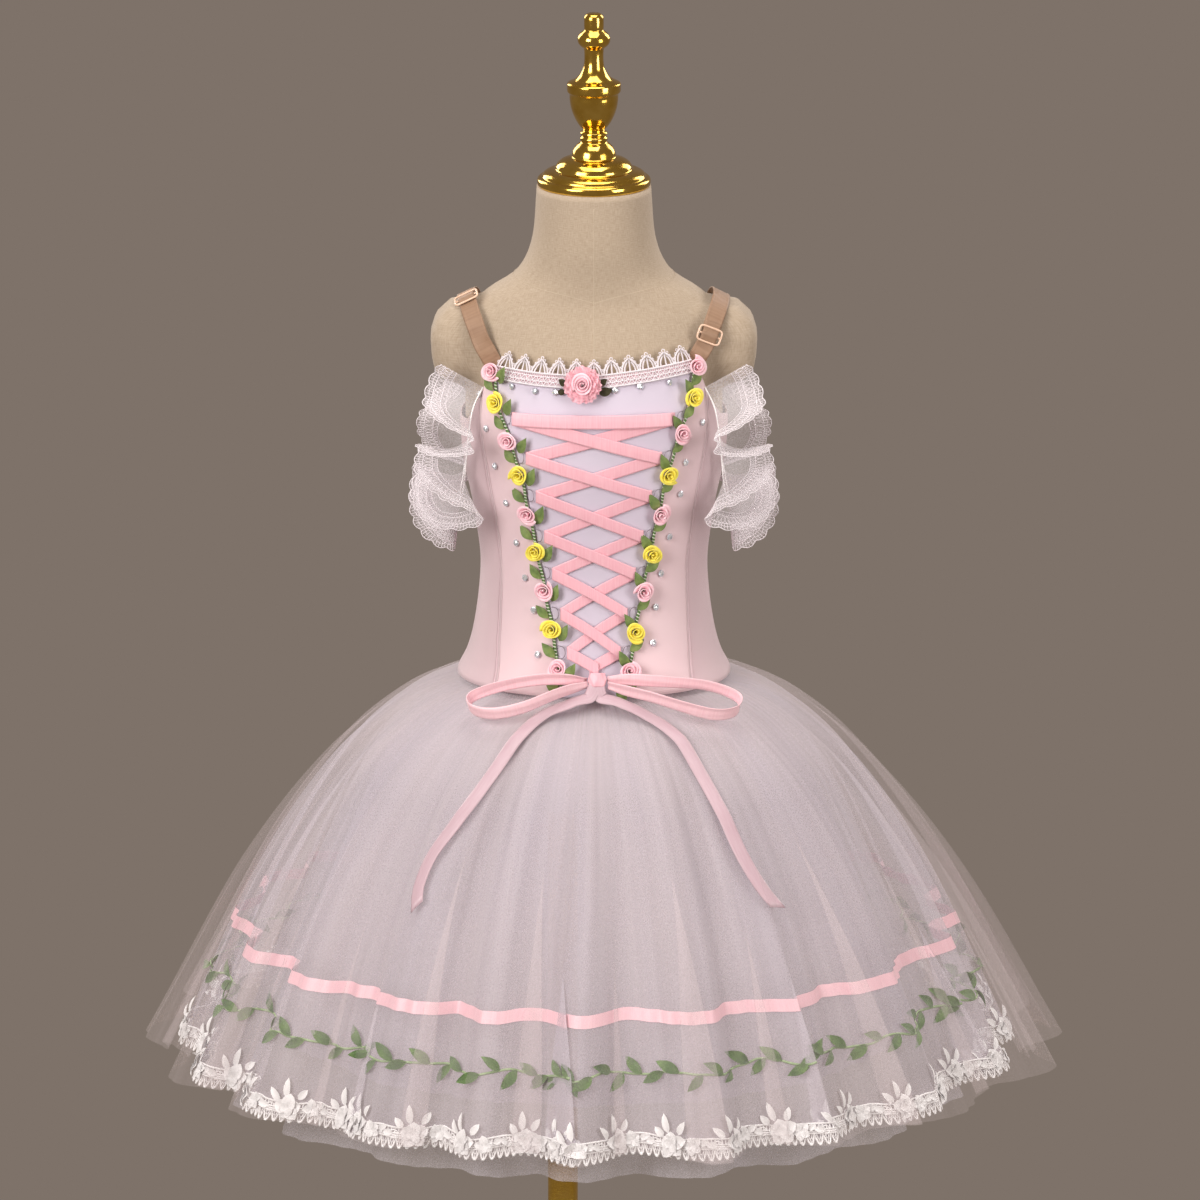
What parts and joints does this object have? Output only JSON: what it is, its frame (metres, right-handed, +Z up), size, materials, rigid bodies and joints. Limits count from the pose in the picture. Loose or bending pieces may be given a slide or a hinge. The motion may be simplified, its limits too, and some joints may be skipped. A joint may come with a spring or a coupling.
{
  "type": "ballet tutu on a dress form",
  "caption": "Child's romantic ballet tutu with laced boned bodice, rose vines, lace sleeves and layered tulle skirt, on a limbless dress form with a turned brass cap, pole and round base.",
  "frame": {"origin": "centre of the round base's underside, on the pole's axis", "axes": "+Z up along the pole, the front of the dress faces -Y, and its wearer's left is +X"},
  "size_m": [0.7451, 0.6662, 1.1505],
  "materials": {
    "brass": "polished yellow metal",
    "linen": "cream linen weave",
    "satin": "pink satin ribbon",
    "pink_knit": "pink stretch knit under net",
    "lilac_knit": "lavender white knit under net",
    "tulle": "sheer beige pink tulle",
    "net": "white net",
    "lilac_tulle": "lilac tulle",
    "lace": "white lace",
    "leaf": "green ribbon and embroidery",
    "pink_rose": "folded pink ribbon",
    "yellow_rose": "folded yellow ribbon",
    "strap": "tan satin elastic",
    "slider": "nude coated wire"
  },
  "bodies": {
    "root": {"base": "brass", "big_rose": "pink_rose", "big_rose_leaf_left": "leaf", "big_rose_leaf_right": "leaf", "bodice_back_left": "pink_knit", "bodice_back_right": "pink_knit", "bodice_centre_front": "lilac_knit", "bodice_side_front_left": "pink_knit", "bodice_side_front_right": "pink_knit", "bodice_side_left": "pink_knit", "bodice_side_right": "pink_knit", "bow_knot": "satin", "bow_loop_left": "satin", "bow_loop_right": "satin", "bow_tail_left": "satin", "bow_tail_right": "satin", "dress_form": "linen", "lacing_a": "satin", "lacing_b": "satin", "neck_cap": "brass", "neck_lace": "lace", "pole": "brass", "rose_left_1": "pink_rose", "rose_left_2": "yellow_rose", "rose_left_3": "pink_rose", "rose_left_4": "yellow_rose", "rose_left_5": "pink_rose", "rose_left_6": "yellow_rose", "rose_left_7": "pink_rose", "rose_left_8": "yellow_rose", "rose_left_9": "pink_rose", "rose_right_1": "pink_rose", "rose_right_2": "yellow_rose", "rose_right_3": "pink_rose", "rose_right_4": "yellow_rose", "rose_right_5": "pink_rose", "rose_right_6": "yellow_rose", "rose_right_7": "pink_rose", "rose_right_8": "yellow_rose", "rose_right_9": "pink_rose", "skirt_inner": "lilac_tulle", "skirt_lace": "lace", "skirt_net": "net", "skirt_overlay": "tulle", "skirt_ribbon": "satin", "skirt_trimmed": "tulle", "skirt_vine": "leaf", "sleeve_lace_left": "lace", "sleeve_lace_right": "lace", "slider_left": "slider", "slider_right": "slider", "strap_left": "strap", "strap_right": "strap", "vine_left": "leaf", "vine_right": "leaf"}
  },
  "joints": []
}
